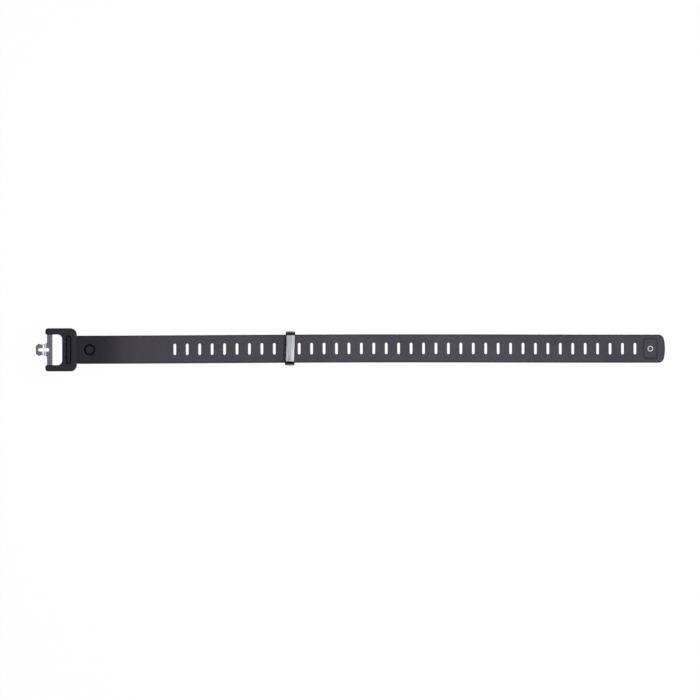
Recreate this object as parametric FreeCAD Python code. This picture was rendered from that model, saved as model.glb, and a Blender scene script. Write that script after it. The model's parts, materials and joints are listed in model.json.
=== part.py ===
# Stretch gear strap with a hinged hook buckle and a sliding keeper, laid out flat.
#
# Frame of the model, in millimetres: +X runs along the band from the buckle to the tail, +Y across the
# band, +Z up from the side that lies on the load. The origin is on the flat back of the buckle's frame,
# under the axis of the hinge pin, on the band's middle line.
#
# Five pieces: strap_band, buckle_frame, hook_plate, hinge_pin and keeper_loop.

import FreeCAD
import Part

import math
import os

V = FreeCAD.Vector

# ---- Driving dimensions ------------------------------------------------------------------------------

# Band
BAND_WIDTH = 22.7
BAND_THICKNESS = 3.0
BAND_LOW_Z = 0.35  # the frame's back stands proud of the band's underside by this much
BAND_RIM = 1.15  # rounding of the long edges, the tail outline and the ends of the eye
TAIL_X = 479.9  # tip of the tail
TAIL_CORNER = 4.6
TAIL_BULGE = 1.9  # how far the middle of the tail stands past its corners

# Hook slots in the band
SLOT_COUNT = 38
SLOT_PITCH = 10.0
SLOT_LENGTH = 9.2
SLOT_WIDTH = 2.2
FIRST_SLOT_X = 85.7
SLOT_RIM = 0.5

# Raised pad on the tail, for the fingers
PAD_FROM_TIP = 11.9
PAD_BASE = (11.6, 17.0)  # along X, along Y
PAD_TOP = (9.6, 14.4)
PAD_HEIGHT = 1.1
PAD_BASE_CORNER = 2.4
PAD_TOP_CORNER = 1.8
PAD_FOOT_RADIUS = 0.8
PAD_LIP_RADIUS = 0.4

# Plain ring marks sunk into the band and the pad
MARK_DEPTH = 0.3
BAND_MARK_X = 17.1
BAND_MARK_RADII = (3.1, 4.6)  # inner, outer
PAD_MARK_RADII = (1.5, 2.2)

# Rolled eye at the buckle end of the band, and the pin through it
EYE_RADIUS = 2.25
EYE_BLEND = 1.2  # fillet from the eye down to the band's face
PIN_RADIUS = 1.0
PIN_RUNNING_CLEARANCE = 0.06
PIN_FREE_END_Y = -16.95
PIN_BLIND_END_Y = 15.65
PIN_CHAMFER = 0.2

# Buckle frame
FRAME_FRONT_X = -18.3  # tips of the arms
FRAME_REAR_X = 6.8
FRAME_WIDTH = 34.7
FRAME_HEIGHT = 6.2
FRAME_REAR_CORNER = 5.2
ARM_TIP_OUTER_CORNER = 2.2
ARM_TIP_INNER_CORNER = 1.2
WINDOW_REAR_X = -4.8
WINDOW_WIDTH = 24.6
WINDOW_CORNER = 3.8
EYE_SLOT_WIDTH = 4.7
EYE_SLOT_LENGTH = 23.1
EYE_SLOT_RIM = 0.4
EYE_ROOM = 0.15  # room over the eye, below the rounded mouth of its slot
EYE_POCKET_CORNER = 1.4
BRIDGE_GAP_FRONT = 0.5  # room over the band under the bridge, at the eye slot
BRIDGE_GAP_REAR = 0.8
REAR_CHAMFER_RUN = 1.9
REAR_CHAMFER_DROP = 1.1
FRAME_EDGE = 0.75  # rounding of the frame's upper edges
FRAME_BACK_EDGE = 0.4

# Hook plate: two legs held in the arms, a crossbar, and a stepped tongue with ears
PLATE_THICKNESS = 1.2
PLATE_LOW_Z = 2.3
CROSSBAR_FRONT_X = -16.9
CROSSBAR_REAR_X = -12.75
LEG_INNER_Y = 12.9
LEG_OUTER_Y = 15.9
LEG_REAR_X = -5.0
LEG_CORNER = 1.0
LEG_HOLE_RADIUS = 0.8
LEG_HOLES_X = (-7.4, -11.2)
TONGUE_TIP_X = -25.6
TONGUE_TIP_HALF = 3.2
TONGUE_TIP_CORNER = 0.9
EAR_X = -23.4
EAR_HALF = 4.8
EAR_CORNER = 0.7
NECK_X = -21.5
NECK_HALF = 4.05
NECK_CORNER = 0.9
SHOULDER_X = -20.0
ROOT_X = -18.2
ROOT_HALF = 4.7
ROOT_CORNER = 1.2
FLARE_HALF = 6.2
FLARE_CORNER = 1.4
TONGUE_SLOT_FRONT_X = -24.1
TONGUE_SLOT_REAR_X = -15.1
TONGUE_SLOT_HALF = 1.45
HOOK_CLEARANCE = 0.2  # room above a folded band under the raised head
STEP_FOOT_X = -17.8  # where the flat plate ends and the step begins
STEP_ANGLE = 78.0
STEP_INNER_RADIUS = 0.35

# Keeper loop
KEEPER_X = 178.6
KEEPER_LENGTH = 7.8  # along the band
KEEPER_INNER_WIDTH = 24.6
KEEPER_WALL = 1.4
KEEPER_UNDER_GAP = 0.15
KEEPER_SPARE = 0.45  # room over the band and a folded tail
KEEPER_OUTER_CORNER = 3.6
KEEPER_EDGE = 0.5

# ---- Worked out from the driving dimensions ----------------------------------------------------------

HALF_BAND = BAND_WIDTH / 2
HALF_FRAME = FRAME_WIDTH / 2
BAND_TOP_Z = BAND_LOW_Z + BAND_THICKNESS
PIN_Z = BAND_LOW_Z + EYE_RADIUS  # the eye's underside is flush with the band's
PAD_X = TAIL_X - PAD_FROM_TIP
STEP_RISE = BAND_THICKNESS + PLATE_THICKNESS + HOOK_CLEARANCE
KEEPER_INNER_LOW = BAND_LOW_Z - KEEPER_UNDER_GAP
KEEPER_INNER_HIGH = BAND_TOP_Z + BAND_THICKNESS + KEEPER_SPARE
PAST = 1.0  # how far a cutting tool runs past the face it opens
SLIVER = 1e-4  # straight stretch left between two arcs that would otherwise meet
SAME_PLACE = 0.01  # two coordinates this close are taken as equal
NEAR_EDGE = 0.1  # reach past a nominal outline when its edges are picked out
EDGE_SAMPLES = (0.02, 0.5, 0.98)  # shares of an edge's length at which it is tested


# ---- Helpers -----------------------------------------------------------------------------------------


def rounded_rectangle(x_size, y_size, corner, centre):
    """Closed wire of a rounded rectangle parallel to XY, about its centre point."""
    hx, hy = x_size / 2, y_size / 2
    d = corner * (1 - math.sqrt(0.5))
    edges = []
    for sx, sy in ((1, 1), (-1, 1), (-1, -1), (1, -1)):
        across = V(sx * hx, sy * (hy - corner), 0)
        middle = V(sx * (hx - d), sy * (hy - d), 0)
        along = V(sx * (hx - corner), sy * hy, 0)
        first, last = (across, along) if sx * sy > 0 else (along, across)
        arc = Part.Arc(centre + first, centre + middle, centre + last)
        edges.append(arc.toShape())
    sides = [
        Part.makeLine(edges[i].Vertexes[-1].Point, edges[(i + 1) % 4].Vertexes[0].Point)
        for i in range(4)
    ]
    return Part.Wire([piece for pair in zip(edges, sides) for piece in pair])


def prism(wire, height):
    """Solid from a closed wire parallel to XY, raised by height."""
    return Part.Face(wire).extrude(V(0, 0, height))


def polygon_prism(points, z, height):
    """Solid over a closed outline of (x, y) points, starting at z."""
    corners = [V(x, y, z) for x, y in points]
    return prism(Part.makePolygon([*corners, corners[0]]), height)


def box_between(low, high):
    """Box from its lowest to its highest corner."""
    size = [b - a for a, b in zip(low, high)]
    return Part.makeBox(*size, V(*low))


def edges_where(shape, test):
    """The shape's edges whose two ends and middle all pass the test."""

    def points(edge):
        first, last = edge.ParameterRange
        return [edge.valueAt(first + (last - first) * share) for share in EDGE_SAMPLES]

    return [edge for edge in shape.Edges if all(test(p) for p in points(edge))]


def near(a, b):
    return abs(a - b) < SAME_PLACE


def round_uprights(shape, x, y, radius):
    """Rounds the upright edges that stand at x, at both +y and -y."""
    edges = edges_where(shape, lambda p: near(p.x, x) and near(abs(p.y), y))
    return shape.makeFillet(radius, edges)


def obround(x_size, y_size, centre):
    """Closed wire of a slot with fully round ends, parallel to XY."""
    return rounded_rectangle(x_size, y_size, min(x_size, y_size) / 2 - SLIVER, centre)


# ---- Strap band --------------------------------------------------------------------------------------


def band_side_profile():
    """Outline of the band seen from the side: flat underside, round eye, fillet, flat top."""
    eye = V(0, 0, EYE_RADIUS)
    blend_z = BAND_THICKNESS + EYE_BLEND
    reach = EYE_RADIUS + EYE_BLEND
    blend_x = math.sqrt(reach**2 - (blend_z - EYE_RADIUS) ** 2)
    blend_angle = math.atan2(blend_z - EYE_RADIUS, blend_x)
    touch = eye + V(EYE_RADIUS * math.cos(blend_angle), 0, EYE_RADIUS * math.sin(blend_angle))
    blend_centre = V(blend_x, 0, blend_z)
    middle_angle = math.pi + (blend_angle + math.pi / 2) / 2
    blend_middle = blend_centre + V(math.cos(middle_angle), 0, math.sin(middle_angle)) * EYE_BLEND
    underside_start = V(0, 0, 0)
    tail_low, tail_high = V(TAIL_X, 0, 0), V(TAIL_X, 0, BAND_THICKNESS)
    blend_end = V(blend_x, 0, BAND_THICKNESS)
    return Part.Wire(
        [
            Part.makeLine(tail_low, underside_start),
            Part.Arc(underside_start, eye - V(EYE_RADIUS, 0, 0), touch).toShape(),
            Part.Arc(touch, blend_middle, blend_end).toShape(),
            Part.makeLine(blend_end, tail_high),
            Part.makeLine(tail_high, tail_low),
        ]
    )


def tail_trim():
    """Everything on the buckle's side of the bulged tail outline."""
    start_x = -EYE_RADIUS - PAST
    side_x = TAIL_X - TAIL_BULGE
    low_z, depth = -PAST, BAND_THICKNESS + EYE_RADIUS * 2 + 2 * PAST
    corners = [V(side_x, HALF_BAND, low_z), V(side_x, -HALF_BAND, low_z)]
    end_arc = Part.Arc(corners[0], V(TAIL_X, 0, low_z), corners[1]).toShape()
    back = [V(start_x, -HALF_BAND, low_z), V(start_x, HALF_BAND, low_z)]
    sides = [
        Part.makeLine(corners[1], back[0]),
        Part.makeLine(back[0], back[1]),
        Part.makeLine(back[1], corners[0]),
    ]
    return prism(Part.Wire([end_arc, *sides]), depth)


def hook_slots():
    """Cutting tools for the row of crosswise slots."""
    tools = []
    for i in range(SLOT_COUNT):
        centre = V(FIRST_SLOT_X + i * SLOT_PITCH, 0, -PAST)
        tools.append(prism(obround(SLOT_WIDTH, SLOT_LENGTH, centre), BAND_THICKNESS + 2 * PAST))
    return tools


def ring_groove(x, top_z, radii):
    """Cutting tool for a sunk ring mark."""
    base = V(x, 0, top_z - MARK_DEPTH)
    inner, outer = radii
    height = MARK_DEPTH + PAST
    return Part.makeCylinder(outer, height, base).cut(Part.makeCylinder(inner, height, base))


def tail_pad():
    """Raised pad with sloping sides, sunk a little into the band so that the two fuse."""
    foot_z = BAND_THICKNESS - PAST
    base = rounded_rectangle(*PAD_BASE, PAD_BASE_CORNER, V(PAD_X, 0, BAND_THICKNESS))
    top = rounded_rectangle(*PAD_TOP, PAD_TOP_CORNER, V(PAD_X, 0, BAND_THICKNESS + PAD_HEIGHT))
    root = rounded_rectangle(*PAD_BASE, PAD_BASE_CORNER, V(PAD_X, 0, foot_z))
    return Part.makeLoft([base, top], True, True).fuse(prism(root, PAST)).removeSplitter()


def strap_band():
    """The band, built lying on z = 0 and lifted into place at the end."""
    body = Part.Face(band_side_profile()).extrude(V(0, BAND_WIDTH, 0))
    body.translate(V(0, -HALF_BAND, 0))
    body = body.common(tail_trim())
    body = round_uprights(body, TAIL_X - TAIL_BULGE, HALF_BAND, TAIL_CORNER)

    def on_rim(p):
        on_side = near(abs(p.y), HALF_BAND)
        on_tail = p.x > TAIL_X - TAIL_BULGE - TAIL_CORNER - PAST
        on_face = near(p.z, 0) or near(p.z, BAND_THICKNESS)
        return on_side or (on_tail and on_face)

    body = body.makeFillet(BAND_RIM, edges_where(body, on_rim))

    body = body.fuse(tail_pad()).removeSplitter()

    def on_pad_foot(p):
        return near(p.z, BAND_THICKNESS) and abs(p.x - PAD_X) < PAD_BASE[0] / 2 + NEAR_EDGE

    body = body.makeFillet(PAD_FOOT_RADIUS, edges_where(body, on_pad_foot))
    pad_lip = edges_where(body, lambda p: near(p.z, BAND_THICKNESS + PAD_HEIGHT))
    body = body.makeFillet(PAD_LIP_RADIUS, pad_lip)

    body = body.cut(hook_slots())
    slot_start = FIRST_SLOT_X - SLOT_WIDTH
    slot_end = FIRST_SLOT_X + (SLOT_COUNT - 1) * SLOT_PITCH + SLOT_WIDTH

    def on_slot_rim(p):
        inside = slot_start < p.x < slot_end and abs(p.y) < SLOT_LENGTH / 2 + NEAR_EDGE
        return inside and (near(p.z, 0) or near(p.z, BAND_THICKNESS))

    body = body.makeFillet(SLOT_RIM, edges_where(body, on_slot_rim))

    body = body.cut(ring_groove(BAND_MARK_X, BAND_THICKNESS, BAND_MARK_RADII))
    body = body.cut(ring_groove(PAD_X, BAND_THICKNESS + PAD_HEIGHT, PAD_MARK_RADII))
    bore = Part.makeCylinder(
        PIN_RADIUS + PIN_RUNNING_CLEARANCE,
        BAND_WIDTH + 2 * PAST,
        V(0, -HALF_BAND - PAST, EYE_RADIUS),
        V(0, 1, 0),
    )
    body = body.cut(bore)
    body.translate(V(0, 0, BAND_LOW_Z))
    return body


# ---- Hook plate --------------------------------------------------------------------------------------


def stepped_sheet():
    """The plate's sheet seen from the side: flat, a bend up, a steep riser, a bend back and a flat head."""
    angle = math.radians(STEP_ANGLE)
    middle_radius = STEP_INNER_RADIUS + PLATE_THICKNESS / 2
    riser = (STEP_RISE - 2 * middle_radius * (1 - math.cos(angle))) / math.sin(angle)
    half = PLATE_THICKNESS / 2
    low_mid_z = PLATE_LOW_Z + half

    def face_edges(side):
        """Edges along one face of the sheet. side is +1 for the upper face and -1 for the lower one."""
        up_radius = middle_radius - side * half
        down_radius = middle_radius + side * half
        up_centre = V(STEP_FOOT_X, 0, low_mid_z + middle_radius)
        direction = V(-math.cos(angle), 0, math.sin(angle))
        normal = V(-math.sin(angle), 0, -math.cos(angle))
        foot_end = up_centre + normal * up_radius
        down_centre = up_centre + normal * middle_radius * 2 + direction * riser
        head_start_bend = down_centre - normal * down_radius
        half_normal = V(-math.sin(angle / 2), 0, -math.cos(angle / 2))
        foot_middle = up_centre + half_normal * up_radius
        head_middle = down_centre - half_normal * down_radius
        foot_start = V(STEP_FOOT_X, 0, low_mid_z + side * half)
        head_flat = V(down_centre.x, 0, down_centre.z + down_radius)
        rear = V(LEG_REAR_X, 0, low_mid_z + side * half)
        tip = V(TONGUE_TIP_X - PAST, 0, head_flat.z)
        return [
            Part.makeLine(rear, foot_start),
            Part.Arc(foot_start, foot_middle, foot_end).toShape(),
            Part.makeLine(foot_end, head_start_bend),
            Part.Arc(head_start_bend, head_middle, head_flat).toShape(),
            Part.makeLine(head_flat, tip),
        ]

    upper, lower = face_edges(1), face_edges(-1)
    tip_end = Part.makeLine(upper[-1].Vertexes[-1].Point, lower[-1].Vertexes[-1].Point)
    rear_end = Part.makeLine(lower[0].Vertexes[0].Point, upper[0].Vertexes[0].Point)
    wire = Part.Wire(Part.__sortEdges__([*upper, tip_end, *lower, rear_end]))
    sheet = Part.Face(wire).extrude(V(0, FRAME_WIDTH, 0))
    sheet.translate(V(0, -HALF_FRAME, 0))
    return sheet


def plate_outline():
    """Plan outline of the plate: the eared tongue, the crossbar and the legs."""
    half_side = [
        (TONGUE_TIP_X, TONGUE_TIP_HALF),
        (EAR_X, EAR_HALF),
        (NECK_X, NECK_HALF),
        (SHOULDER_X, ROOT_HALF),
        (ROOT_X, ROOT_HALF),
        (CROSSBAR_FRONT_X, FLARE_HALF),
        (CROSSBAR_FRONT_X, LEG_OUTER_Y),
        (LEG_REAR_X, LEG_OUTER_Y),
        (LEG_REAR_X, LEG_INNER_Y),
        (CROSSBAR_REAR_X, LEG_INNER_Y),
    ]
    other_side = [(x, -y) for x, y in reversed(half_side)]
    return half_side + other_side


def hook_plate():
    low_z = PLATE_LOW_Z - PAST
    height = STEP_RISE + PLATE_THICKNESS + 2 * PAST
    blank = polygon_prism(plate_outline(), low_z, height)
    for x, y, radius in (
        (TONGUE_TIP_X, TONGUE_TIP_HALF, TONGUE_TIP_CORNER),
        (EAR_X, EAR_HALF, EAR_CORNER),
        (NECK_X, NECK_HALF, NECK_CORNER),
        (ROOT_X, ROOT_HALF, ROOT_CORNER),
        (CROSSBAR_FRONT_X, FLARE_HALF, FLARE_CORNER),
        (CROSSBAR_FRONT_X, LEG_OUTER_Y, LEG_CORNER),
        (LEG_REAR_X, LEG_OUTER_Y, LEG_CORNER),
        (LEG_REAR_X, LEG_INNER_Y, LEG_CORNER),
    ):
        blank = round_uprights(blank, x, y, radius)
    slot_size = (TONGUE_SLOT_REAR_X - TONGUE_SLOT_FRONT_X, 2 * TONGUE_SLOT_HALF)
    slot_centre = V((TONGUE_SLOT_REAR_X + TONGUE_SLOT_FRONT_X) / 2, 0, low_z)
    blank = blank.cut(prism(obround(*slot_size, slot_centre), height))
    leg_middle_y = (LEG_INNER_Y + LEG_OUTER_Y) / 2
    for x in LEG_HOLES_X:
        for side in (-1, 1):
            hole = Part.makeCylinder(LEG_HOLE_RADIUS, height, V(x, side * leg_middle_y, low_z))
            blank = blank.cut(hole)
    return blank.common(stepped_sheet())


# ---- Buckle frame ------------------------------------------------------------------------------------


def frame_blank():
    """The frame's C shape with rounded corners, before its edges are softened."""
    half_window = WINDOW_WIDTH / 2
    block = box_between((FRAME_FRONT_X, -HALF_FRAME, 0), (FRAME_REAR_X, HALF_FRAME, FRAME_HEIGHT))
    block = block.cut(
        box_between(
            (FRAME_FRONT_X - PAST, -half_window, -PAST),
            (WINDOW_REAR_X, half_window, FRAME_HEIGHT + PAST),
        )
    )
    for x, y, radius in (
        (FRAME_REAR_X, HALF_FRAME, FRAME_REAR_CORNER),
        (FRAME_FRONT_X, HALF_FRAME, ARM_TIP_OUTER_CORNER),
        (FRAME_FRONT_X, half_window, ARM_TIP_INNER_CORNER),
        (WINDOW_REAR_X, half_window, WINDOW_CORNER),
    ):
        block = round_uprights(block, x, y, radius)
    return block


def rear_slope_z(x):
    """Height of the chamfer that slopes the top of the bridge down towards the band."""
    run = x - (FRAME_REAR_X - REAR_CHAMFER_RUN)
    return FRAME_HEIGHT - run * REAR_CHAMFER_DROP / REAR_CHAMFER_RUN


def rear_chamfer():
    """Cutting tool above the bridge's sloping rear edge."""
    start_x, end_x = FRAME_REAR_X - REAR_CHAMFER_RUN, FRAME_REAR_X + PAST
    y, over_z = -HALF_FRAME - PAST, FRAME_HEIGHT + PAST
    corners = [
        V(start_x, y, FRAME_HEIGHT),
        V(end_x, y, rear_slope_z(end_x)),
        V(end_x, y, over_z),
        V(start_x, y, over_z),
    ]
    profile = Part.Face(Part.makePolygon([*corners, corners[0]]))
    return profile.extrude(V(0, FRAME_WIDTH + 2 * PAST, 0))


def band_channel():
    """Cutting tool for the room under the bridge in which the band swings."""
    half_slot = EYE_SLOT_WIDTH / 2
    y = -EYE_SLOT_LENGTH / 2
    front_z = BAND_TOP_Z + BRIDGE_GAP_FRONT
    slope = (BRIDGE_GAP_REAR - BRIDGE_GAP_FRONT) / (FRAME_REAR_X - half_slot)
    end_x = FRAME_REAR_X + PAST
    corners = [
        V(-half_slot, y, -PAST),
        V(end_x, y, -PAST),
        V(end_x, y, front_z + slope * (end_x - half_slot)),
        V(half_slot, y, front_z),
        V(-half_slot, y, front_z),
    ]
    tool = Part.Face(Part.makePolygon([*corners, corners[0]])).extrude(V(0, EYE_SLOT_LENGTH, 0))
    return round_uprights(tool, -half_slot, EYE_SLOT_LENGTH / 2, EYE_POCKET_CORNER)


def eye_pocket():
    """Cutting tool for the room round the band's eye, below the slot's mouth."""
    pocket = rounded_rectangle(EYE_SLOT_WIDTH, EYE_SLOT_LENGTH, EYE_POCKET_CORNER, V(0, 0, -PAST))
    return prism(pocket, PIN_Z + EYE_RADIUS + EYE_ROOM + PAST)


def buckle_frame(plate):
    frame = frame_blank().cut(rear_chamfer())

    def on_upper_edge(p):
        on_top = near(p.z, FRAME_HEIGHT)
        on_slope = p.x > FRAME_REAR_X - REAR_CHAMFER_RUN and near(p.z, rear_slope_z(p.x))
        return on_top or on_slope

    frame = frame.makeFillet(FRAME_EDGE, edges_where(frame, on_upper_edge))
    frame = frame.makeFillet(FRAME_BACK_EDGE, edges_where(frame, lambda p: near(p.z, 0)))

    mouth = obround(EYE_SLOT_WIDTH, EYE_SLOT_LENGTH, V(0, 0, 0))
    frame = frame.cut(prism(mouth, FRAME_HEIGHT + PAST))

    def on_mouth_rim(p):
        over_slot = abs(p.x) < EYE_SLOT_WIDTH / 2 + NEAR_EDGE
        return near(p.z, FRAME_HEIGHT) and over_slot and abs(p.y) < EYE_SLOT_LENGTH / 2 + NEAR_EDGE

    frame = frame.makeFillet(EYE_SLOT_RIM, edges_where(frame, on_mouth_rim))
    frame = frame.cut(eye_pocket()).cut(band_channel())
    hole_start = V(0, -HALF_FRAME - PAST, PIN_Z)
    pin_hole = Part.makeCylinder(PIN_RADIUS, PIN_BLIND_END_Y - hole_start.y, hole_start, V(0, 1, 0))
    return frame.cut(pin_hole).cut(plate)


# ---- Hinge pin and keeper ----------------------------------------------------------------------------


def hinge_pin():
    length = PIN_BLIND_END_Y - PIN_FREE_END_Y
    pin = Part.makeCylinder(PIN_RADIUS, length, V(0, PIN_FREE_END_Y, PIN_Z), V(0, 1, 0))
    ends = (PIN_FREE_END_Y, PIN_BLIND_END_Y)
    rims = edges_where(pin, lambda p: near(p.y, ends[0]) or near(p.y, ends[1]))
    return pin.makeChamfer(PIN_CHAMFER, rims)


def keeper_ring(width, low_z, high_z, corner, length):
    """Rounded rectangular bar along X, centred on the keeper's place."""
    wire = rounded_rectangle(high_z - low_z, width, corner, V(0, 0, 0))
    bar = Part.Face(wire).extrude(V(0, 0, length))
    bar.rotate(V(0, 0, 0), V(0, 1, 0), 90)
    bar.translate(V(KEEPER_X - length / 2, 0, (low_z + high_z) / 2))
    return bar


def keeper_loop():
    wall = KEEPER_WALL
    outer = keeper_ring(
        KEEPER_INNER_WIDTH + 2 * wall,
        KEEPER_INNER_LOW - wall,
        KEEPER_INNER_HIGH + wall,
        KEEPER_OUTER_CORNER,
        KEEPER_LENGTH,
    )
    inner = keeper_ring(
        KEEPER_INNER_WIDTH,
        KEEPER_INNER_LOW,
        KEEPER_INNER_HIGH,
        KEEPER_OUTER_CORNER - wall,
        KEEPER_LENGTH + 2 * PAST,
    )
    loop = outer.cut(inner)
    ends = (KEEPER_X - KEEPER_LENGTH / 2, KEEPER_X + KEEPER_LENGTH / 2)
    rims = edges_where(loop, lambda p: near(p.x, ends[0]) or near(p.x, ends[1]))
    return loop.makeFillet(KEEPER_EDGE, rims)


# ---- Build -------------------------------------------------------------------------------------------


def main():
    os.makedirs("parts", exist_ok=True)
    plate = hook_plate()
    pieces = {
        "strap_band": strap_band(),
        "buckle_frame": buckle_frame(plate),
        "hook_plate": plate,
        "hinge_pin": hinge_pin(),
        "keeper_loop": keeper_loop(),
    }
    for name, shape in pieces.items():
        solids = shape.Solids
        if len(solids) != 1 or not shape.isValid():
            raise SystemExit(f"{name}: {len(solids)} solids, valid {shape.isValid()}")
        box = shape.BoundBox
        print(f"{name}: volume {shape.Volume:.1f} mm3, x {box.XMin:.2f}..{box.XMax:.2f},",
              f"y {box.YMin:.2f}..{box.YMax:.2f}, z {box.ZMin:.2f}..{box.ZMax:.2f}")
        solids[0].exportStep(f"parts/{name}.step")


main()
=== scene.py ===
import json
import math

import bmesh
import bpy
from mathutils import Matrix, Vector


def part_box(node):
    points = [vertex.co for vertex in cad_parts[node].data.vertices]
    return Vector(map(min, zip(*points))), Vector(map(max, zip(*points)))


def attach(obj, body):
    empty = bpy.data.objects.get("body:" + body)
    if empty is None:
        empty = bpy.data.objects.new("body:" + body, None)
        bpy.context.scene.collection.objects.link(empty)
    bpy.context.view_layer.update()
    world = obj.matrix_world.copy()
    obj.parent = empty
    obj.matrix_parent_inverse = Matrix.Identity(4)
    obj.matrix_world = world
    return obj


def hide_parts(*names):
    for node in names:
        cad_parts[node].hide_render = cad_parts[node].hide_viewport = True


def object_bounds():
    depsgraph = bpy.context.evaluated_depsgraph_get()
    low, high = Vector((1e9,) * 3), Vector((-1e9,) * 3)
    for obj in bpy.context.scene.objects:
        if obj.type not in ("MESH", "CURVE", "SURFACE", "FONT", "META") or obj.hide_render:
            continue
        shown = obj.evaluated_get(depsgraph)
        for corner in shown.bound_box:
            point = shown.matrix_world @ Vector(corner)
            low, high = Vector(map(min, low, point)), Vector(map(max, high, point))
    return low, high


# Looks of a slotted stretch strap with a hook buckle, laid flat and seen from straight above.
# The band, the hook plate and the keeper get finer meshes here.
# The buckle frame and its pin are the CAD's own.

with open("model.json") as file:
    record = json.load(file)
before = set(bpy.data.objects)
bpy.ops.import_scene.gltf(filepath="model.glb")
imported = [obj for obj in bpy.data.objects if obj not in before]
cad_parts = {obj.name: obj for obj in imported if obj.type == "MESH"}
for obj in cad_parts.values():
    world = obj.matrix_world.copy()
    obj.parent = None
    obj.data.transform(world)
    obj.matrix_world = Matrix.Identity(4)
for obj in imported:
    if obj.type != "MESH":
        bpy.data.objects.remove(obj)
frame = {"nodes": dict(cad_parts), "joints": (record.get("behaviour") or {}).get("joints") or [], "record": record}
cad_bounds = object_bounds()

# ---- Sizes, in metres --------------------------------------------------------------------------------

MM = 0.001


def named(items, name):
    return next(item for item in items if item["name"] == name)


# Read from the frame
band_low, band_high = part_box("strap_band")
pin_low, pin_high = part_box("hinge_pin")
keeper_low, keeper_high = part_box("keeper_loop")
plate_low, plate_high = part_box("hook_plate")
last_slot = Vector(named(frame["record"]["mounts"], "tail_slot")["pos_m"])
tilt_axis = Vector(named(frame["joints"], "buckle_tilt")["pos_m"])

BAND_HALF = band_high.y
BAND_UNDER = band_low.z
BAND_THICK = last_slot.z - band_low.z
TAIL_X = band_high.x
EYE_R = tilt_axis.z - band_low.z
PIN_ROOM = 0.06 * MM  # between the pin and its bore
BORE_R = (pin_high.z - pin_low.z) / 2 + PIN_ROOM

# Band details
SLOT_COUNT = 38
SLOT_PITCH = 10 * MM
SLOT_HALF_X = 1.1 * MM
SLOT_HALF_Y = 4.6 * MM
SLOT_RIM = 0.5 * MM  # rounding of a slot's lips
SLOT_SHOULDER = 0.9 * MM  # evenly meshed margin round the lips
RIM_OUT = 1.4 * MM  # reach of the band's rounded edge, across the band
RIM_DOWN = 1.15 * MM  # and through its thickness
EYE_BLEND = 1.2 * MM  # radius of the fillet between the top face and the eye
TAIL_CORNER = 4.6 * MM
TAIL_BULGE = 1.9 * MM  # how far the middle of the tail stands beyond its sides
MARK_X = 17.1 * MM
MARK_OUTER, MARK_INNER, MARK_DEPTH = 4.6 * MM, 3.1 * MM, 0.3 * MM
MARK_EDGE = 0.12 * MM  # width of the softened edges of both marks
MARK_CELL_HALF = 8.5 * MM  # half length of the piece of face that holds the mark
PAD_X = TAIL_X - 11.9 * MM
PAD_MARK_OUTER, PAD_MARK_INNER, PAD_MARK_DEPTH = 2.2 * MM, 1.5 * MM, 0.08 * MM
PAD_CELL_REACH = 6.6 * MM  # from the pad's middle to the end of the piece of face that holds it
WAVE_HEIGHT = 0.45 * MM  # how far the band lifts between the places where it lies flat
WAVE_LENGTH = 118 * MM
WAVE_START = 48 * MM
BOW = 0.65 * MM  # how far the middle of the band lies to one side of a straight line

# Mesh steps
COLUMNS = 10  # along each end of a cell
ROWS = 16  # along each side of a cell
ARC_STEPS = 4  # in an eighth of a circle
RIM_STEPS = 5  # over a quarter of the band's rounded edge
LIP_STEPS = 3  # over a slot's lip
EYE_STEPS, EYE_BLEND_STEPS, EYE_FAR_STEPS = 26, 5, 12  # round the eye, its fillet, its bore inside the band
TAIL_CORNER_STEPS = 5
MERGE = 0.001 * MM  # points nearer than this are one point
SLIVER = 0.0005 * MM  # edges shorter than this are removed
RUBBER, DARK, PALE = range(3)  # the band's material slots


# ---- Mesh tools --------------------------------------------------------------------------------------


class Patchwork:
    """Collects patches of quads and joins them into one closed mesh."""

    def __init__(self):
        self.points = []
        self.faces = []
        self.slots = []

    def add_points(self, points):
        """Stores copies, so that patches which share an edge can be moved point by point."""
        self.points.extend(p.copy() for p in points)

    def polygon(self, points):
        first = len(self.points)
        self.add_points(points)
        self.faces.append(tuple(range(first, len(self.points))))
        self.slots.append(0)

    def grid(self, rows, slot=0, closed=False):
        """Quads between rows of equal length. A closed grid joins each row's last point to its first."""
        first, width = len(self.points), len(rows[0])
        for row in rows:
            self.add_points(row)
        for i in range(len(rows) - 1):
            for j in range(width if closed else width - 1):
                a = first + i * width + j
                b = first + i * width + (j + 1) % width
                self.faces.append((a, b, b + width, a + width))
                self.slots.append(slot)

    def fan(self, ring):
        """Closes a ring with triangles to its middle."""
        first = len(self.points)
        self.add_points([*ring, sum(ring, Vector()) / len(ring)])
        for j in range(len(ring)):
            self.faces.append((first + j, first + (j + 1) % len(ring), first + len(ring)))
            self.slots.append(0)

    def build(self, name, materials):
        mesh = bpy.data.meshes.new(name)
        mesh.from_pydata(self.points, [], self.faces)
        for material in materials:
            mesh.materials.append(material)
        mesh.polygons.foreach_set("material_index", self.slots)
        work = bmesh.new()
        work.from_mesh(mesh)
        bmesh.ops.remove_doubles(work, verts=work.verts, dist=MERGE)
        bmesh.ops.dissolve_degenerate(work, edges=work.edges, dist=SLIVER)
        bmesh.ops.recalc_face_normals(work, faces=work.faces)
        work.to_mesh(mesh)
        work.free()
        return smooth_object(name, mesh)


def smooth_object(name, mesh, sharp_angle=math.radians(50)):
    """Links the mesh as a smooth-shaded object with creases where it turns sharply."""
    mesh.polygons.foreach_set("use_smooth", [True] * len(mesh.polygons))
    mesh.set_sharp_from_angle(angle=sharp_angle)
    made = bpy.data.objects.new(name, mesh)
    bpy.context.scene.collection.objects.link(made)
    return made


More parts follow.
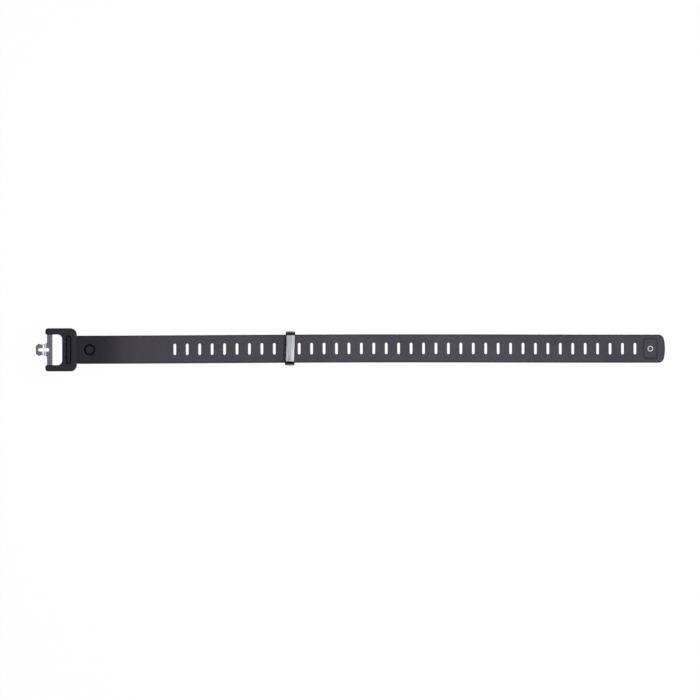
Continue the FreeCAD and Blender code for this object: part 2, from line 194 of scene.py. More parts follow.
def side_samples(count, straight, corner):
    """(distance along the side from its middle, turn of the normal) for one side of a rounded rectangle."""
    eighth = math.pi / 4
    if corner == 0:
        return [(straight * (i / count - 0.5), 0) for i in range(count)]
    if straight < 0.01 * MM:  # the two corners meet
        return [(0, eighth * (2 * i / count - 1)) for i in range(count)]
    middle = count - 2 * ARC_STEPS if count > 2 * ARC_STEPS else 1
    arc = (count - middle) // 2
    samples = [(-straight / 2, -eighth * (1 - i / arc)) for i in range(arc)]
    samples += [(straight * (i / middle - 0.5), 0) for i in range(middle + 1)]
    samples += [(straight / 2, eighth * i / arc) for i in range(1, arc)]
    return samples


def rounded_ring(half_x, half_y, corner, columns=COLUMNS, rows=ROWS):
    """(point, normal) pairs anticlockwise round a rounded rectangle, from its lower right corner."""
    ring = []
    for quarter in range(4):
        turn = quarter * math.pi / 2
        out = Vector((math.cos(turn), math.sin(turn)))
        along = Vector((-out.y, out.x))
        upright = quarter % 2 == 0
        reach, span = (half_x, half_y) if upright else (half_y, half_x)
        for s, angle in side_samples(rows if upright else columns, 2 * (span - corner), corner):
            normal = along * math.sin(angle) + out * math.cos(angle)
            ring.append((out * (reach - corner) + along * s + normal * corner, normal))
    return ring


def level_ring(x, half_x, half_y, corner, z):
    """Points round a rounded rectangle at height z, about the band's middle line at x."""
    return [Vector((x + p.x, p.y, z)) for p, _ in rounded_ring(half_x, half_y, corner)]


def rows_between(first, last, steps):
    """Rows of points from the first row to the last, both included."""
    return [[a.lerp(b, i / steps) for a, b in zip(first, last)] for i in range(steps + 1)]


def quarter_turn(steps):
    """(sine, one minus cosine) over a quarter circle, for rounded edges."""
    angles = [math.pi / 2 * i / steps for i in range(steps + 1)]
    return [(math.sin(a), 1 - math.cos(a)) for a in angles]


# ---- Band --------------------------------------------------------------------------------------------

FLAT_HALF = BAND_HALF - RIM_OUT  # half width of the band's flat faces
FIRST_SLOT_X = last_slot.x - (SLOT_COUNT - 1) * SLOT_PITCH
ACROSS = [FLAT_HALF * (2 * j / ROWS - 1) for j in range(ROWS + 1)]


def edge_profile():
    """(out, down) steps over the band's rounded long edge, from its top face to its underside."""
    top = [(RIM_OUT * out, RIM_DOWN * down) for out, down in quarter_turn(RIM_STEPS)]
    return top + [(out, BAND_THICK - down) for out, down in reversed(top)]


def rectangle_ring(start_x, end_x, z):
    return level_ring((start_x + end_x) / 2, (end_x - start_x) / 2, FLAT_HALF, 0, z)


def slot_cell(band, x):
    """One pitch of the band round its slot: top face, slot wall and underside in one run of rings."""

    def slot_ring(grow, z):
        return level_ring(x, SLOT_HALF_X + grow, SLOT_HALF_Y + grow, SLOT_HALF_X + grow, z)

    def face_rings(z):
        border = rectangle_ring(x - SLOT_PITCH / 2, x + SLOT_PITCH / 2, z)
        return rows_between(border, slot_ring(SLOT_RIM + SLOT_SHOULDER, z), 3)

    lip = quarter_turn(LIP_STEPS)
    rings = face_rings(BAND_THICK)
    rings += [slot_ring(SLOT_RIM * (1 - s), BAND_THICK - SLOT_RIM * d) for s, d in lip]
    rings += [slot_ring(SLOT_RIM * (1 - s), SLOT_RIM * d) for s, d in reversed(lip)]
    rings += reversed(face_rings(0))
    band.grid(rings, closed=True)


def stations_between(start_x, end_x, steps):
    return [start_x + (end_x - start_x) * i / steps for i in range(steps + 1)]


def plain_stretch(band, stations, z):
    """Flat face of the band with no features."""
    band.grid([[Vector((x, y, z)) for y in ACROSS] for x in stations])


def sunk_ring(band, x, z, outer, inner, depth, slot):
    """A ring mark sunk in a face: returns its outermost ring, for the face round it to meet."""

    def circle(r, drop):
        return level_ring(x, r, r, r, z - drop)

    lip = 0.3 * MARK_EDGE
    brim, outer_lip = circle(outer + MARK_EDGE, 0), circle(outer + lip, lip)
    inner_lip = circle(inner - lip, lip)
    band.grid([brim, outer_lip], closed=True)
    band.grid([outer_lip, circle(outer, depth), circle(inner, depth), inner_lip], slot, closed=True)
    island = [inner_lip, circle(inner - MARK_EDGE, 0)]
    island += [circle(inner * share, 0) for share in (0.75, 0.5, 0.25)]
    band.grid(island, closed=True)
    band.fan(island[-1])
    return brim


def mark_cell(band, start_x, end_x):
    """The dark ring mark beside the buckle, in its own piece of the top face."""
    hole = sunk_ring(band, MARK_X, BAND_THICK, MARK_OUTER, MARK_INNER, MARK_DEPTH, DARK)
    border = rectangle_ring(start_x, end_x, BAND_THICK)
    band.grid(rows_between(border, hole, 4), closed=True)


def pad_cell(band, start_x, end_x):
    """The raised tail pad with its pale ring mark."""
    sides = (  # half length, half width, corner radius and height in millimetres, from foot to top
        (6.35, 9.10, 3.0, 0.00),
        (6.10, 8.85, 2.8, 0.05),
        (5.85, 8.55, 2.6, 0.20),
        (5.15, 7.75, 2.2, 0.75),
        (4.85, 7.40, 2.0, 0.96),
        (4.55, 7.10, 1.8, 1.08),
        (4.30, 6.80, 1.6, 1.10),
        (3.70, 5.20, 1.6, 1.10),
    )
    foot, *rest = [
        level_ring(PAD_X, hx * MM, hy * MM, corner * MM, BAND_THICK + z * MM)
        for hx, hy, corner, z in sides
    ]
    top_z = BAND_THICK + sides[-1][-1] * MM
    hole = sunk_ring(band, PAD_X, top_z, PAD_MARK_OUTER, PAD_MARK_INNER, PAD_MARK_DEPTH, PALE)
    border = rectangle_ring(start_x, end_x, BAND_THICK)
    inner = rows_between(rest[-1], hole, 3)[1:]
    band.grid([*rows_between(border, foot, 2), *rest, *inner], closed=True)


def tail_curve():
    """(point, normal) pairs round the inner outline of the tail, from one long edge to the other."""
    bulge_r = (BAND_HALF**2 + TAIL_BULGE**2) / (2 * TAIL_BULGE)
    bulge_x = TAIL_X - bulge_r
    corner_y = BAND_HALF - TAIL_CORNER
    reach = bulge_r - TAIL_CORNER
    corner_x = bulge_x + math.sqrt(reach**2 - corner_y**2)
    lean = math.asin(corner_y / reach)
    corner_r = TAIL_CORNER - RIM_OUT
    arcs = (  # centre, radius, start and end angle, steps
        (Vector((corner_x, -corner_y)), corner_r, -math.pi / 2, -lean, TAIL_CORNER_STEPS),
        (Vector((bulge_x, 0)), bulge_r - RIM_OUT, -lean, lean, ROWS - 2 * TAIL_CORNER_STEPS),
        (Vector((corner_x, corner_y)), corner_r, lean, math.pi / 2, TAIL_CORNER_STEPS),
    )
    curve = []
    for centre, radius, start, end, steps in arcs:
        for i in range(steps):
            angle = start + (end - start) * i / steps
            normal = Vector((math.cos(angle), math.sin(angle)))
            curve.append((centre + normal * radius, normal))
    end_centre = arcs[-1][0]
    end_normal = Vector((0, 1))
    return [*curve, (end_centre + end_normal * corner_r, end_normal)]


def tail_rows(start_x, z):
    """Rows of points from the straight band to the tail's inner outline."""
    straight = [Vector((start_x, y, z)) for y in ACROSS]
    end = [Vector((p.x, p.y, z)) for p, _ in tail_curve()]
    return rows_between(straight, end, 4)


def outer_edge(band, stations, rows):
    """The rounded edge along both sides of the flat band and round the tail."""
    lower = [(Vector((x, -FLAT_HALF)), Vector((0, -1))) for x in stations]
    lower += [(row[0].xy, Vector((0, -1))) for row in rows[1:-1]]
    upper = [(Vector((p.x, -p.y)), Vector((0, 1))) for p, _ in reversed(lower)]
    path = lower + tail_curve() + upper
    profile = edge_profile()
    around = []
    for p, normal in path:
        around.append([Vector((*(p + normal * out), BAND_THICK - down)) for out, down in profile])
    band.grid(around)


def eye_path():
    """(x, z, normal x, normal z) in three runs: down the fillet, round the eye, back along the underside."""
    blend_z = BAND_THICK + EYE_BLEND
    reach = EYE_R + EYE_BLEND
    blend_x = math.sqrt(reach**2 - (blend_z - EYE_R) ** 2)
    touch = math.atan2(blend_z - EYE_R, blend_x)  # where the fillet meets the eye
    blend = []
    for i in range(EYE_BLEND_STEPS):
        angle = -math.pi / 2 - (math.pi / 2 - touch) * i / EYE_BLEND_STEPS
        nx, nz = -math.cos(angle), -math.sin(angle)
        blend.append((blend_x - nx * EYE_BLEND, blend_z - nz * EYE_BLEND, nx, nz))
    turn = []
    for i in range(EYE_STEPS + 1):
        angle = touch + (1.5 * math.pi - touch) * i / EYE_STEPS
        nx, nz = math.cos(angle), math.sin(angle)
        turn.append((nx * EYE_R, EYE_R + nz * EYE_R, nx, nz))
    flat = [(blend_x / 2, 0, 0, -1), (blend_x, 0, 0, -1)]
    return blend, turn, flat


def eye_rim_row(station, side):
    """Points over the eye's rounded edge at one station of its path, on one side of the band."""
    x, z, nx, nz = station
    row = []
    for out, down in quarter_turn(RIM_STEPS):
        y = side * (FLAT_HALF + RIM_OUT * out)
        row.append(Vector((x - nx * RIM_DOWN * down, y, z - nz * RIM_DOWN * down)))
    return row


def eye_end(band):
    """The rolled eye with its rounded ends and the bore for the pin. Returns where the flat band starts."""
    blend, turn, flat = eye_path()
    path = blend + turn + flat
    band.grid([[Vector((x, y, z)) for y in ACROSS] for x, z, _, _ in path])
    # The bore's near part follows the eye's outline. Its far part lies in the band's thickness.
    bore = [(nx, nz) for _, _, nx, nz in turn]
    touch = math.atan2(bore[0][1], bore[0][0])
    for i in range(1, EYE_FAR_STEPS):
        angle = -math.pi / 2 + (touch + math.pi / 2) * i / EYE_FAR_STEPS
        bore.append((math.cos(angle), math.sin(angle)))

    def bore_ring(y):
        return [Vector((nx * BORE_R, y, EYE_R + nz * BORE_R)) for nx, nz in bore]

    turn_start, turn_end = len(blend), len(blend) + len(turn)
    for side in (-1, 1):
        rim = [eye_rim_row(station, side) for station in path]
        band.grid(rim)
        ends = [row[-1] for row in rim]
        mouth = bore_ring(side * BAND_HALF)
        # The flat end: quads round the eye, and one polygon where the eye runs into the band.
        band.grid([ends[turn_start:turn_end], mouth[: len(turn)]])
        far_side = [mouth[0], *reversed(mouth[len(turn) :]), mouth[len(turn) - 1]]
        band.polygon(far_side + ends[turn_end - 1 :] + ends[: turn_start + 1])
    band.grid([bore_ring(-BAND_HALF), bore_ring(BAND_HALF)], closed=True)
    return path[0][0]


def lift(x):
    """Height of the band's gentle wave at x. It is flat at the buckle and at the tail."""
    along = (x - WAVE_START) / WAVE_LENGTH
    waves = math.floor((TAIL_X - WAVE_START) / WAVE_LENGTH)
    if not 0 < along < waves:
        return 0
    return WAVE_HEIGHT * (1 - math.cos(2 * math.pi * along)) / 2


def sideways(x):
    """Sideways bow of the band at x, between the buckle and the tail."""
    along = max(x, 0) / TAIL_X
    return BOW * (1 - math.cos(2 * math.pi * along)) / 2


def stand_for(piece, body, cad_node):
    """The piece rides on the body, and is shown in place of the CAD node."""
    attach(piece, body)
    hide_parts(cad_node)


def make_band():
    band = Patchwork()
    eye_x = eye_end(band)
    mark_start, mark_end = MARK_X - MARK_CELL_HALF, MARK_X + MARK_CELL_HALF
    cells_start = FIRST_SLOT_X - SLOT_PITCH / 2
    cells_end = last_slot.x + SLOT_PITCH / 2
    pad_end = PAD_X + PAD_CELL_REACH
    before_mark = stations_between(eye_x, mark_start, 3)
    by_mark = stations_between(mark_start, mark_end, COLUMNS)
    after_mark = stations_between(mark_end, cells_start, 22)
    by_slots = [cells_start + SLOT_PITCH * i / COLUMNS for i in range(1, SLOT_COUNT * COLUMNS)]
    by_pad = stations_between(cells_end, pad_end, COLUMNS)
    for z in (0, BAND_THICK):
        plain_stretch(band, before_mark, z)
        plain_stretch(band, after_mark, z)
        band.grid(tail_rows(pad_end, z))
    plain_stretch(band, by_mark, 0)
    plain_stretch(band, by_pad, 0)
    mark_cell(band, mark_start, mark_end)
    for i in range(SLOT_COUNT):
        slot_cell(band, FIRST_SLOT_X + i * SLOT_PITCH)
    pad_cell(band, cells_end, pad_end)
    stations = before_mark[:-1] + by_mark[:-1] + after_mark + by_slots + by_pad
    outer_edge(band, stations, tail_rows(pad_end, 0))
    for p in band.points:
        p.y += sideways(p.x)
        p.z += BAND_UNDER + lift(p.x)
    materials = {RUBBER: band_rubber(), DARK: dark_mark(), PALE: pale_ink()}
    made = band.build("band", materials.values())
    stand_for(made, "strap", "strap_band")


# ---- Keeper ------------------------------------------------------------------------------------------

KEEPER_WALL = 1.4 * MM
KEEPER_CORNER = 3.8 * MM  # outer corners of the loop
KEEPER_INNER_CORNER = 1.2 * MM
KEEPER_EDGE = 0.6 * MM  # rounding along both rims
KEEPER_CROWN = 0.17 * MM  # how far the middle of the outside face stands over its edges
KEEPER_YAW = math.radians(-1.7)
KEEPER_DRIFT = Vector((-0.2 * MM, 0.75 * MM, 0))  # how far the loose loop sits off its place


def make_keeper():
    """The glossy loop: a crowned flat section carried between an inner and an outer outline."""
    middle = (keeper_low + keeper_high) / 2
    half = (keeper_high - keeper_low) / 2
    steps = {"columns": 26, "rows": 12}
    outer = rounded_ring(half.y, half.z, KEEPER_CORNER, **steps)
    inner = rounded_ring(half.y - KEEPER_WALL, half.z - KEEPER_WALL, KEEPER_INNER_CORNER, **steps)
    section = [p for p, _ in rounded_ring(half.x, KEEPER_WALL / 2, KEEPER_EDGE, columns=22, rows=8)]
    loop = Patchwork()
    rows = []
    for (outside, normal), (inside, _) in zip(outer, inner):
        row = []
        for p in section:
            crown = KEEPER_CROWN * (1 - (p.x / half.x) ** 2) if p.y > 0 else 0
            place = inside.lerp(outside, p.y / KEEPER_WALL + 0.5) + normal * crown
            row.append(Vector((p.x, place.x, place.y)))
        rows.append(row)
    loop.grid(rows + rows[:1], closed=True)
    made = loop.build("keeper", [glossy_rubber()])
    turn = Matrix.Rotation(KEEPER_YAW, 4, "Z")
    made.data.transform(Matrix.Translation(middle + KEEPER_DRIFT) @ turn)
    stand_for(made, "keeper", "keeper_loop")


# ---- Hook plate --------------------------------------------------------------------------------------

PLATE_THICK = 1.2 * MM
PLATE_EDGE = 0.12 * MM  # softening of the edges
STEP_FOOT_X = -17.8 * MM
STEP_ANGLE = math.radians(78)
STEP_R = 0.35 * MM + PLATE_THICK / 2  # of the bends, at the middle of the sheet
TONGUE_SLOT = (-24.1 * MM, -15.1 * MM, 1.45 * MM)  # front, rear and half width
STEP_CUTS = 40  # across the step, from its foot to its head
CUT_SNAP = 0.01 * MM  # a point this near a cut counts as on it
PLATE_SLIVER = 0.002 * MM
PLATE_SHARP = math.radians(14)  # over the turn of one mesh step, under that of a softened edge
PLATE_GROWTH = 0.15 * MM  # how far the finished edges stand outside the outline below
LEG_HOLES = ((-7.4 * MM, -11.2 * MM), 14.4 * MM, 0.8 * MM)  # X places, distance from the middle, radius

PLATE_OUTLINE = (  # x, y and corner radius of one half, in millimetres, from the tip to the crossbar's rear
    (-25.6, 3.2, 0.9),
    (-23.4, 4.8, 0.7),
    (-21.5, 4.05, 0.9),
    (-20.0, 4.7, 0.6),
    (-17.8, 4.7, 0.6),
    (-16.9, 5.9, 0.9),
    (-16.9, 15.9, 1.0),
    (-5.0, 15.9, 1.0),
    (-5.0, 12.9, 1.0),
    (-12.75, 12.9, 0.0),
)


def step_lengths():
    """Run of the step in plan, its length along the sheet, and the riser's straight length."""
    rise = plate_high.z - plate_low.z - PLATE_THICK
    riser = (rise - 2 * STEP_R * (1 - math.cos(STEP_ANGLE))) / math.sin(STEP_ANGLE)
    run = 2 * STEP_R * math.sin(STEP_ANGLE) + riser * math.cos(STEP_ANGLE)
    return run, 2 * STEP_R * STEP_ANGLE + riser, riser


def unroll(x):
    """Place along the flat sheet of a point seen at x in plan."""
    run, length, _ = step_lengths()
    share = min(max((STEP_FOOT_X - x) / run, 0), 1)
    return x - share * (length - run)


def bend_point(p):
    """Moves a point of the flat sheet, whose middle lies at z = 0, onto the stepped sheet."""
    _, _, riser = step_lengths()
    low_z = plate_low.z + PLATE_THICK / 2
    left = STEP_FOOT_X - p.x  # length of sheet from the step's foot, used up bend by bend
    if left <= 0:
        return Vector((p.x, p.y, low_z + p.z))
    lean = min(left / STEP_R, STEP_ANGLE)
    x = STEP_FOOT_X - STEP_R * math.sin(lean)
    z = low_z + STEP_R * (1 - math.cos(lean))
    left -= STEP_R * lean
    climbed = min(max(left, 0), riser)
    x -= climbed * math.cos(STEP_ANGLE)
    z += climbed * math.sin(STEP_ANGLE)
    left -= climbed
    if left > 0:
        turned_back = min(left / STEP_R, STEP_ANGLE)
        lean = STEP_ANGLE - turned_back
        x -= STEP_R * (math.sin(STEP_ANGLE) - math.sin(lean))
        z += STEP_R * (math.cos(lean) - math.cos(STEP_ANGLE))
        x -= max(left - STEP_R * turned_back, 0)
    return Vector((x + p.z * math.sin(lean), p.y, z + p.z * math.cos(lean)))


def round_corner(before, corner, after, radius, steps=10):
    """Points of the arc that rounds a corner of an outline."""
    to_before = (before - corner).normalized()
    to_after = (after - corner).normalized()
    opening = to_before.angle(to_after)
    if radius == 0 or abs(opening - math.pi) < 1e-4:
        return [corner]
    reach = radius / math.tan(opening / 2)
    centre = corner + (to_before + to_after).normalized() * radius / math.sin(opening / 2)
    start, end = corner + to_before * reach - centre, corner + to_after * reach - centre
    sweep = start.angle_signed(end)
    turns = [Matrix.Rotation(-sweep * i / steps, 2) @ start for i in range(steps + 1)]
    return [centre + t for t in turns]


def plate_outline():
    half = [(Vector((unroll(x * MM), y * MM)), r * MM) for x, y, r in PLATE_OUTLINE]
    corners = half + [(Vector((p.x, -p.y)), r) for p, r in reversed(half)]
    outline = []
    for i, (corner, radius) in enumerate(corners):
        before = corners[i - 1][0]
        after = corners[(i + 1) % len(corners)][0]
        outline += round_corner(before, corner, after, radius)
    return outline


def plate_holes():
    front, rear, half_width = TONGUE_SLOT
    front, rear = unroll(front), unroll(rear)
    middle = Vector(((front + rear) / 2, 0))
    slot = rounded_ring((rear - front) / 2, half_width, half_width, columns=24, rows=12)
    holes = [[middle + p for p, _ in slot]]
    xs, leg_y, radius = LEG_HOLES
    for x in xs:
        for side in (-1, 1):
            circle = rounded_ring(radius, radius, radius, columns=6, rows=6)
            holes.append([Vector((x, side * leg_y)) + p for p, _ in circle])
    return holes


def plate_blank():
    """The flat sheet as a mesh, with its outline, holes and softened edges."""
    blank = bpy.data.curves.new("blank", "CURVE")
    blank.dimensions = "2D"
    blank.fill_mode = "BOTH"
    blank.extrude = PLATE_THICK / 2 - PLATE_EDGE
    blank.bevel_depth = PLATE_EDGE
    blank.bevel_resolution = 1
    blank.offset = PLATE_GROWTH - PLATE_EDGE
    for outline in [plate_outline(), *plate_holes()]:
        spline = blank.splines.new("POLY")
        spline.points.add(len(outline) - 1)
        spline.use_cyclic_u = True
        for point, place in zip(spline.points, outline):
            point.co = (place.x, place.y, 0, 1)
    holder = bpy.data.objects.new("blank", blank)
    bpy.context.scene.collection.objects.link(holder)
    mesh = bpy.data.meshes.new_from_object(holder)
    bpy.data.objects.remove(holder)
    return mesh


def make_hook_plate():
    """The stamped plate: a flat blank, cut across where it bends, and stepped."""
    mesh = plate_blank()
    work = bmesh.new()
    work.from_mesh(mesh)
    bmesh.ops.remove_doubles(work, verts=work.verts, dist=MERGE)
    _, length, _ = step_lengths()
    for i in range(STEP_CUTS + 1):
        cut_x = STEP_FOOT_X - length * i / STEP_CUTS
        geometry = work.verts[:] + work.edges[:] + work.faces[:]
        bmesh.ops.bisect_plane(
            work, geom=geometry, plane_co=(cut_x, 0, 0), plane_no=(1, 0, 0), dist=CUT_SNAP
        )
    bmesh.ops.dissolve_degenerate(work, edges=work.edges, dist=PLATE_SLIVER)
    for vertex in work.verts:
        vertex.co = bend_point(vertex.co)
    bmesh.ops.recalc_face_normals(work, faces=work.faces)
    work.to_mesh(mesh)
    work.free()
    mesh.materials.clear()
    mesh.materials.append(tumbled_steel())
    made = smooth_object("hook", mesh, PLATE_SHARP)
    stand_for(made, "buckle", "hook_plate")


# ---- Materials ---------------------------------------------------------------------------------------


def set_inputs(tree, target, values):
    """Sets a node's inputs. Each is a value or the socket that feeds it."""
    for key, value in values.items():
        if isinstance(value, bpy.types.NodeSocket):
            tree.links.new(value, target.inputs[key])
        else:
            target.inputs[key].default_value = value


def node(tree, kind, inputs=None, **settings):
    made = tree.nodes.new(kind)
    for key, value in settings.items():
        setattr(made, key, value)
    set_inputs(tree, made, inputs or {})
    return made


def maths(tree, operation, a, b):
    return node(tree, "ShaderNodeMath", {0: a, 1: b}, operation=operation).outputs[0]


VIOLET = (1.03, 0.975, 1.16)  # the faint tint of the black plastics
STEEL = (1.0, 0.97, 1.09)
COOL = (0.96, 0.985, 1.03)  # of the soft box's image in the keeper


def grey(level, tint=VIOLET):
    return (level * tint[0], level * tint[1], level * tint[2], 1)


def sheen(tint):
    """Specular tint as strong as the base colour's, with its largest part at 1."""
    return grey(1 / max(tint), tint)


def blend_colours(tree, share, a, b):
    """Mixes two colours. Inputs 6 and 7 and output 2 are the mix node's colour sockets."""
    return node(tree, "ShaderNodeMix", {0: share, 6: a, 7: b}, data_type="RGBA").outputs[2]


def noise(tree, position, cell_mm, detail=3.0, stretch=(1, 1, 1)):
    """Noise whose features are about cell_mm millimetres across, stretched along the axes."""
    scale = tuple(1 / (cell_mm * MM * s) for s in stretch)
    moved = node(tree, "ShaderNodeMapping", {"Vector": position, "Scale": scale}).outputs[0]
    made = node(tree, "ShaderNodeTexNoise", {"Vector": moved, "Scale": 1.0, "Detail": detail})
    return made.outputs["Fac"]


def spread(tree, value, low, high, start=0.0, end=1.0, smooth=False):
    """Maps value from start..end to low..high."""
    made = node(
        tree,
        "ShaderNodeMapRange",
        {"Value": value, "From Min": start, "From Max": end, "To Min": low, "To Max": high},
        interpolation_type="SMOOTHSTEP" if smooth else "LINEAR",
    )
    return made.outputs[0]


def vary(tree, noise_value, low, high):
    """Maps the middle of a noise's range, where most of its values lie, to low..high."""
    return spread(tree, noise_value, low, high, 0.35, 0.65)


def new_material(name):
    """(material, tree, shader, object-space position) of a fresh principled material."""
    material = bpy.data.materials.new(name)
    material.use_nodes = True
    tree = material.node_tree
    position = node(tree, "ShaderNodeTexCoord").outputs["Object"]
    return material, tree, tree.nodes["Principled BSDF"], position


def bump(tree, height, depth_mm, strength, under=None):
    """Bumps of a height map, on top of the bumps under it."""
    inputs = {"Height": height, "Distance": depth_mm * MM, "Strength": strength}
    if under is not None:
        inputs["Normal"] = under
    return node(tree, "ShaderNodeBump", inputs).outputs[0]


def band_rubber():
    """Matte moulded elastomer: fine grain, faint clouding, and painted sheen: paler colour and more specular away
    from the buckle, standing in for the soft box's reflection.
    """
    material, tree, shader, position = new_material("band_rubber")
    axes = node(tree, "ShaderNodeSeparateXYZ", {"Vector": position})
    # Painted sheen: colour and specular level are lowest by the buckle and rise from 24 to 62 mm, where the soft
    # box's reflection falls.
    painted_sheen = spread(tree, axes.outputs["X"], 0.0, 1.0, 24 * MM, 62 * MM, smooth=True)
    clouds = noise(tree, position, 26, detail=4)
    speckle = noise(tree, position, 1.4, detail=5)
    # Painted sheen: a further brighter swell, full up to 95 mm and gone by 175 mm.
    painted_sheen_swell = spread(tree, axes.outputs["X"], 0.45, 0.0, 95 * MM, 175 * MM, smooth=True)
    patches = vary(tree, clouds, -0.24, 0.24)
    specks = vary(tree, speckle, -0.34, 0.34)
    tone_and_painted_sheen = maths(tree, "ADD", maths(tree, "ADD", patches, specks), painted_sheen_swell)
    level = maths(tree, "ADD", painted_sheen, maths(tree, "MULTIPLY", tone_and_painted_sheen, painted_sheen))
    colour = node(
        tree, "ShaderNodeVectorMath", {0: grey(0.014)[:3], "Scale": level}, operation="SCALE"
    )
    colour = node(tree, "ShaderNodeVectorMath", {0: colour.outputs[0], 1: grey(0.021)[:3]})
    grain = noise(tree, position, 0.35, detail=4)
    pores = noise(tree, position, 0.09, detail=2)
    set_inputs(
        tree,
        shader,
        {
            "Base Color": colour.outputs[0],
            "Roughness": vary(tree, speckle, 0.5, 0.66),
            # The painted sheen also raises the specular level away from the buckle.
            "Specular IOR Level": spread(tree, level, 0.18, 0.42),
            "Specular Tint": sheen(VIOLET),
            "Normal": bump(tree, pores, 0.015, 0.7, bump(tree, grain, 0.05, 0.9)),
        },
    )
    return material


def dark_mark():
    """Smooth, darker floor of the ring mark in the band."""
    material, tree, shader, position = new_material("dark_mark")
    speckle = noise(tree, position, 0.5)
    set_inputs(
        tree,
        shader,
        {
            "Base Color": blend_colours(tree, speckle, grey(0.001), grey(0.003)),
            "Roughness": spread(tree, speckle, 0.35, 0.5),
            "Specular IOR Level": 0.05,
        },
    )
    return material


def pale_ink():
    """Off-white pad print, slightly worn through."""
    material, tree, shader, position = new_material("pale_ink")
    speckle = noise(tree, position, 0.25, detail=5)
    worn = spread(tree, speckle, 0.0, 1.0, 0.62, 0.74, smooth=True)
    set_inputs(
        tree,
        shader,
        {
            "Base Color": blend_colours(tree, worn, grey(0.62, (1, 1, 1)), grey(0.25)),
            "Roughness": 0.55,
        },
    )
    return material


def glossy_rubber():
    """Polished black elastomer with faint flow lines round the loop."""
    material, tree, shader, position = new_material("glossy_rubber")
    streaks = noise(tree, position, 0.9, detail=3, stretch=(1, 16, 4))
    flow = noise(tree, position, 2.4, detail=2, stretch=(1, 5, 4))
    waves = noise(tree, position, 3.2, detail=2, stretch=(1, 3, 1))
    set_inputs(
        tree,
        shader,
        {
            "Base Color": grey(0.004),
            "Roughness": spread(tree, streaks, 0.07, 0.2),
            "Specular IOR Level": vary(tree, streaks, 0.35, 0.95),
            "Specular Tint": sheen(COOL),
            "Coat Weight": vary(tree, flow, 0.6, 1.0),
            "Coat Roughness": 0.08,
            "Coat IOR": 1.64,
            "Coat Tint": sheen(COOL),
            "Normal": bump(tree, waves, 0.05, 0.35, bump(tree, streaks, 0.012, 0.35)),
        },
    )
    return material


def moulded_nylon():
    """Satin glass-filled nylon with a spark-eroded grain, rubbed slightly paler on its edges."""
    material, tree, shader, position = new_material("moulded_nylon")
    grain = noise(tree, position, 0.3, detail=4)
    clouds = noise(tree, position, 7, detail=3)
    flat_normal = node(tree, "ShaderNodeNewGeometry").outputs["Normal"]
    round_normal = node(tree, "ShaderNodeBevel", {"Radius": 0.35 * MM}, samples=4).outputs[0]
    likeness = node(
        tree, "ShaderNodeVectorMath", {0: flat_normal, 1: round_normal}, operation="DOT_PRODUCT"
    )
    rubbed = spread(tree, likeness.outputs["Value"], 1.0, 0.0, 0.9, 1.0, smooth=True)
    set_inputs(
        tree,
        shader,
        {
            "Base Color": blend_colours(tree, rubbed, grey(0.029), grey(0.042)),
            "Roughness": spread(tree, clouds, 0.5, 0.62),
            "Specular IOR Level": 0.12,
            "Specular Tint": sheen(VIOLET),
            "Normal": bump(tree, grain, 0.05, 0.9),
        },
    )
    return material


def tumbled_steel():
    """Stamped stainless steel, dulled by tumbling, with faint rolling lines along the crossbar."""
    material, tree, shader, position = new_material("tumbled_steel")
    lines = noise(tree, position, 0.18, detail=3, stretch=(1, 30, 1))
    dents = noise(tree, position, 0.5, detail=4)
    set_inputs(
        tree,
        shader,
        {
            "Base Color": blend_colours(tree, lines, grey(0.27, STEEL), grey(0.36, STEEL)),
            "Metallic": 1.0,
            "Roughness": spread(tree, dents, 0.2, 0.28),
            "Normal": bump(tree, dents, 0.004, 0.3, bump(tree, lines, 0.003, 0.4)),
        },
    )
    return material


def blackened_steel():
    """Oiled black wire of the hinge pin, with drawing lines along it."""
    material, tree, shader, position = new_material("blackened_steel")
    lines = noise(tree, position, 0.12, detail=2, stretch=(1, 40, 1))
    set_inputs(
        tree,
        shader,
        {
            "Base Color": blend_colours(tree, lines, grey(0.05), grey(0.09)),
            "Metallic": 1.0,
            "Roughness": spread(tree, lines, 0.3, 0.44),
            "Normal": bump(tree, lines, 0.003, 0.4),
        },
    )
    return material


def dress(cad_node, material):
    """Gives a carried-over CAD node its material."""
    mesh = frame["nodes"][cad_node].data
    mesh.materials.clear()
    mesh.materials.append(material)


# ---- Stage, light and camera -------------------------------------------------------------------------

CAMERA_HEIGHT = 4.0
VIEW_WIDTH = 0.5626  # width of the picture, at the height of the band's upper side
SENSOR = 36.0  # millimetres
middle_x = (cad_bounds[0].x + cad_bounds[1].x) / 2
AIM_X, AIM_Y = -0.6 * MM, -0.6 * MM  # how far the camera is aimed off the part's middle
VIEW_CENTRE = Vector((middle_x + AIM_X, AIM_Y, band_high.z))
CAMERA_ROLL = -0.002  # radians
OVERHEAD_Y = 0.02  # how far the boxes overhead stand to one side
FLOOR_HALF = 6.0
FLOOR_GAP = 2 * MM


def make_floor():
    """Pale floor, below the lowest point that the tilted buckle reaches. It is mostly lit from within."""
    reach = (Vector((plate_low.x, 0, plate_high.z)) - tilt_axis).length
    floor_z = tilt_axis.z - reach - FLOOR_GAP
    mesh = bpy.data.meshes.new("floor")
    corners = [(x * FLOOR_HALF, y * FLOOR_HALF) for x, y in ((-1, -1), (1, -1), (1, 1), (-1, 1))]
    mesh.from_pydata([(middle_x + x, y, floor_z) for x, y in corners], [], [(0, 1, 2, 3)])
    floor = bpy.data.objects.new("floor", mesh)
    bpy.context.scene.collection.objects.link(floor)
    material = bpy.data.materials.new("pale_floor")
    material.use_nodes = True
    tree = material.node_tree
    shader = tree.nodes["Principled BSDF"]
    set_inputs(
        tree,
        shader,
        {
            "Base Color": (0.04, 0.04, 0.04, 1),
            "Roughness": 0.9,
            "Specular IOR Level": 0.0,
            "Emission Color": (1, 1, 1, 1),
            "Emission Strength": 0.97,
        },
    )
    mesh.materials.append(material)


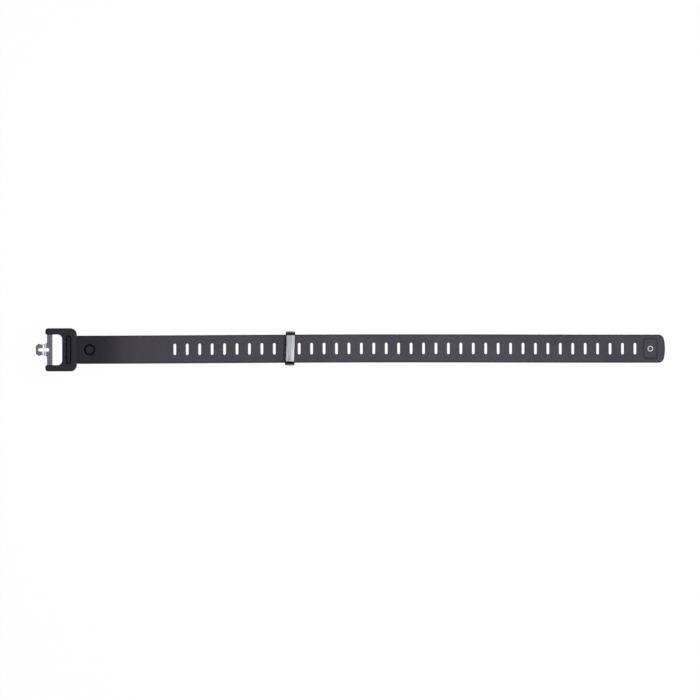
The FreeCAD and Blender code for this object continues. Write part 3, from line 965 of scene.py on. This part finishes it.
def make_world():
    """White to the camera. To everything else, a dim room that is paler toward the horizon."""
    world = bpy.data.worlds.new("room")
    world.use_nodes = True
    tree = world.node_tree
    tree.nodes.clear()
    seen = node(tree, "ShaderNodeLightPath").outputs["Is Camera Ray"]
    bright = node(tree, "ShaderNodeBackground", {"Color": (1, 1, 1, 1), "Strength": 1.0})
    direction = node(tree, "ShaderNodeTexCoord").outputs["Generated"]
    height = node(tree, "ShaderNodeSeparateXYZ", {"Vector": direction}).outputs["Z"]
    level = spread(tree, height, 0.32, 0.09, 0.3, 0.5, smooth=True)
    dim = node(tree, "ShaderNodeBackground", {"Color": (1, 1, 1, 1), "Strength": level})
    mixed = node(tree, "ShaderNodeMixShader", {0: seen, 1: dim.outputs[0], 2: bright.outputs[0]})
    node(tree, "ShaderNodeOutputWorld", {"Surface": mixed.outputs[0]})
    bpy.context.scene.world = world


def softbox(name, place, target, size_x, size_y, radiance):
    """A rectangular light that faces its target. Its radiance is 1 where a white card would look white."""
    light = bpy.data.lights.new(name, "AREA")
    light.shape = "RECTANGLE"
    light.size, light.size_y = size_x, size_y
    light.energy = radiance * math.pi * size_x * size_y
    made = bpy.data.objects.new(name, light)
    made.location = place
    direction = Vector(target) - Vector(place)
    made.rotation_euler = direction.to_track_quat("-Z", "Y").to_euler()
    made.visible_camera = False
    bpy.context.scene.collection.objects.link(made)


def make_lights():
    """A low overhead box with a hot middle and a dim end over the buckle, and two boxes to the sides."""
    down = Vector((0, 0, -1))
    for name, x, z, size_x, size_y, radiance in (
        ("overhead", 0.09, 0.6, 0.48, 0.4, 4.6),
        ("hot_middle", 0.06, 0.58, 0.14, 0.36, 2.4),
        ("dim_end", -0.31, 0.6, 0.3, 0.5, 0.16),
    ):
        place = VIEW_CENTRE + Vector((x, OVERHEAD_Y, z))
        softbox(name, place, place + down, size_x, size_y, radiance)
    softbox("right", VIEW_CENTRE + Vector((1.3, 0.1, 0.8)), VIEW_CENTRE, 0.3, 0.8, 5.0)
    softbox("far", VIEW_CENTRE + Vector((0.1, 0.75, 1.25)), VIEW_CENTRE, 1.4, 0.15, 1.2)


def make_camera():
    camera = bpy.data.cameras.new("camera")
    camera.sensor_width = SENSOR
    camera.lens = SENSOR * CAMERA_HEIGHT / VIEW_WIDTH
    camera.clip_end = 20
    made = bpy.data.objects.new("camera", camera)
    made.location = VIEW_CENTRE + Vector((0, 0, CAMERA_HEIGHT))
    made.rotation_euler = (0, 0, CAMERA_ROLL)
    bpy.context.scene.collection.objects.link(made)
    bpy.context.scene.camera = made
    bpy.context.scene.view_settings.view_transform = "Standard"


make_band()
make_keeper()
make_hook_plate()
dress("buckle_frame", moulded_nylon())
dress("hinge_pin", blackened_steel())
make_floor()
make_world()
make_lights()
make_camera()
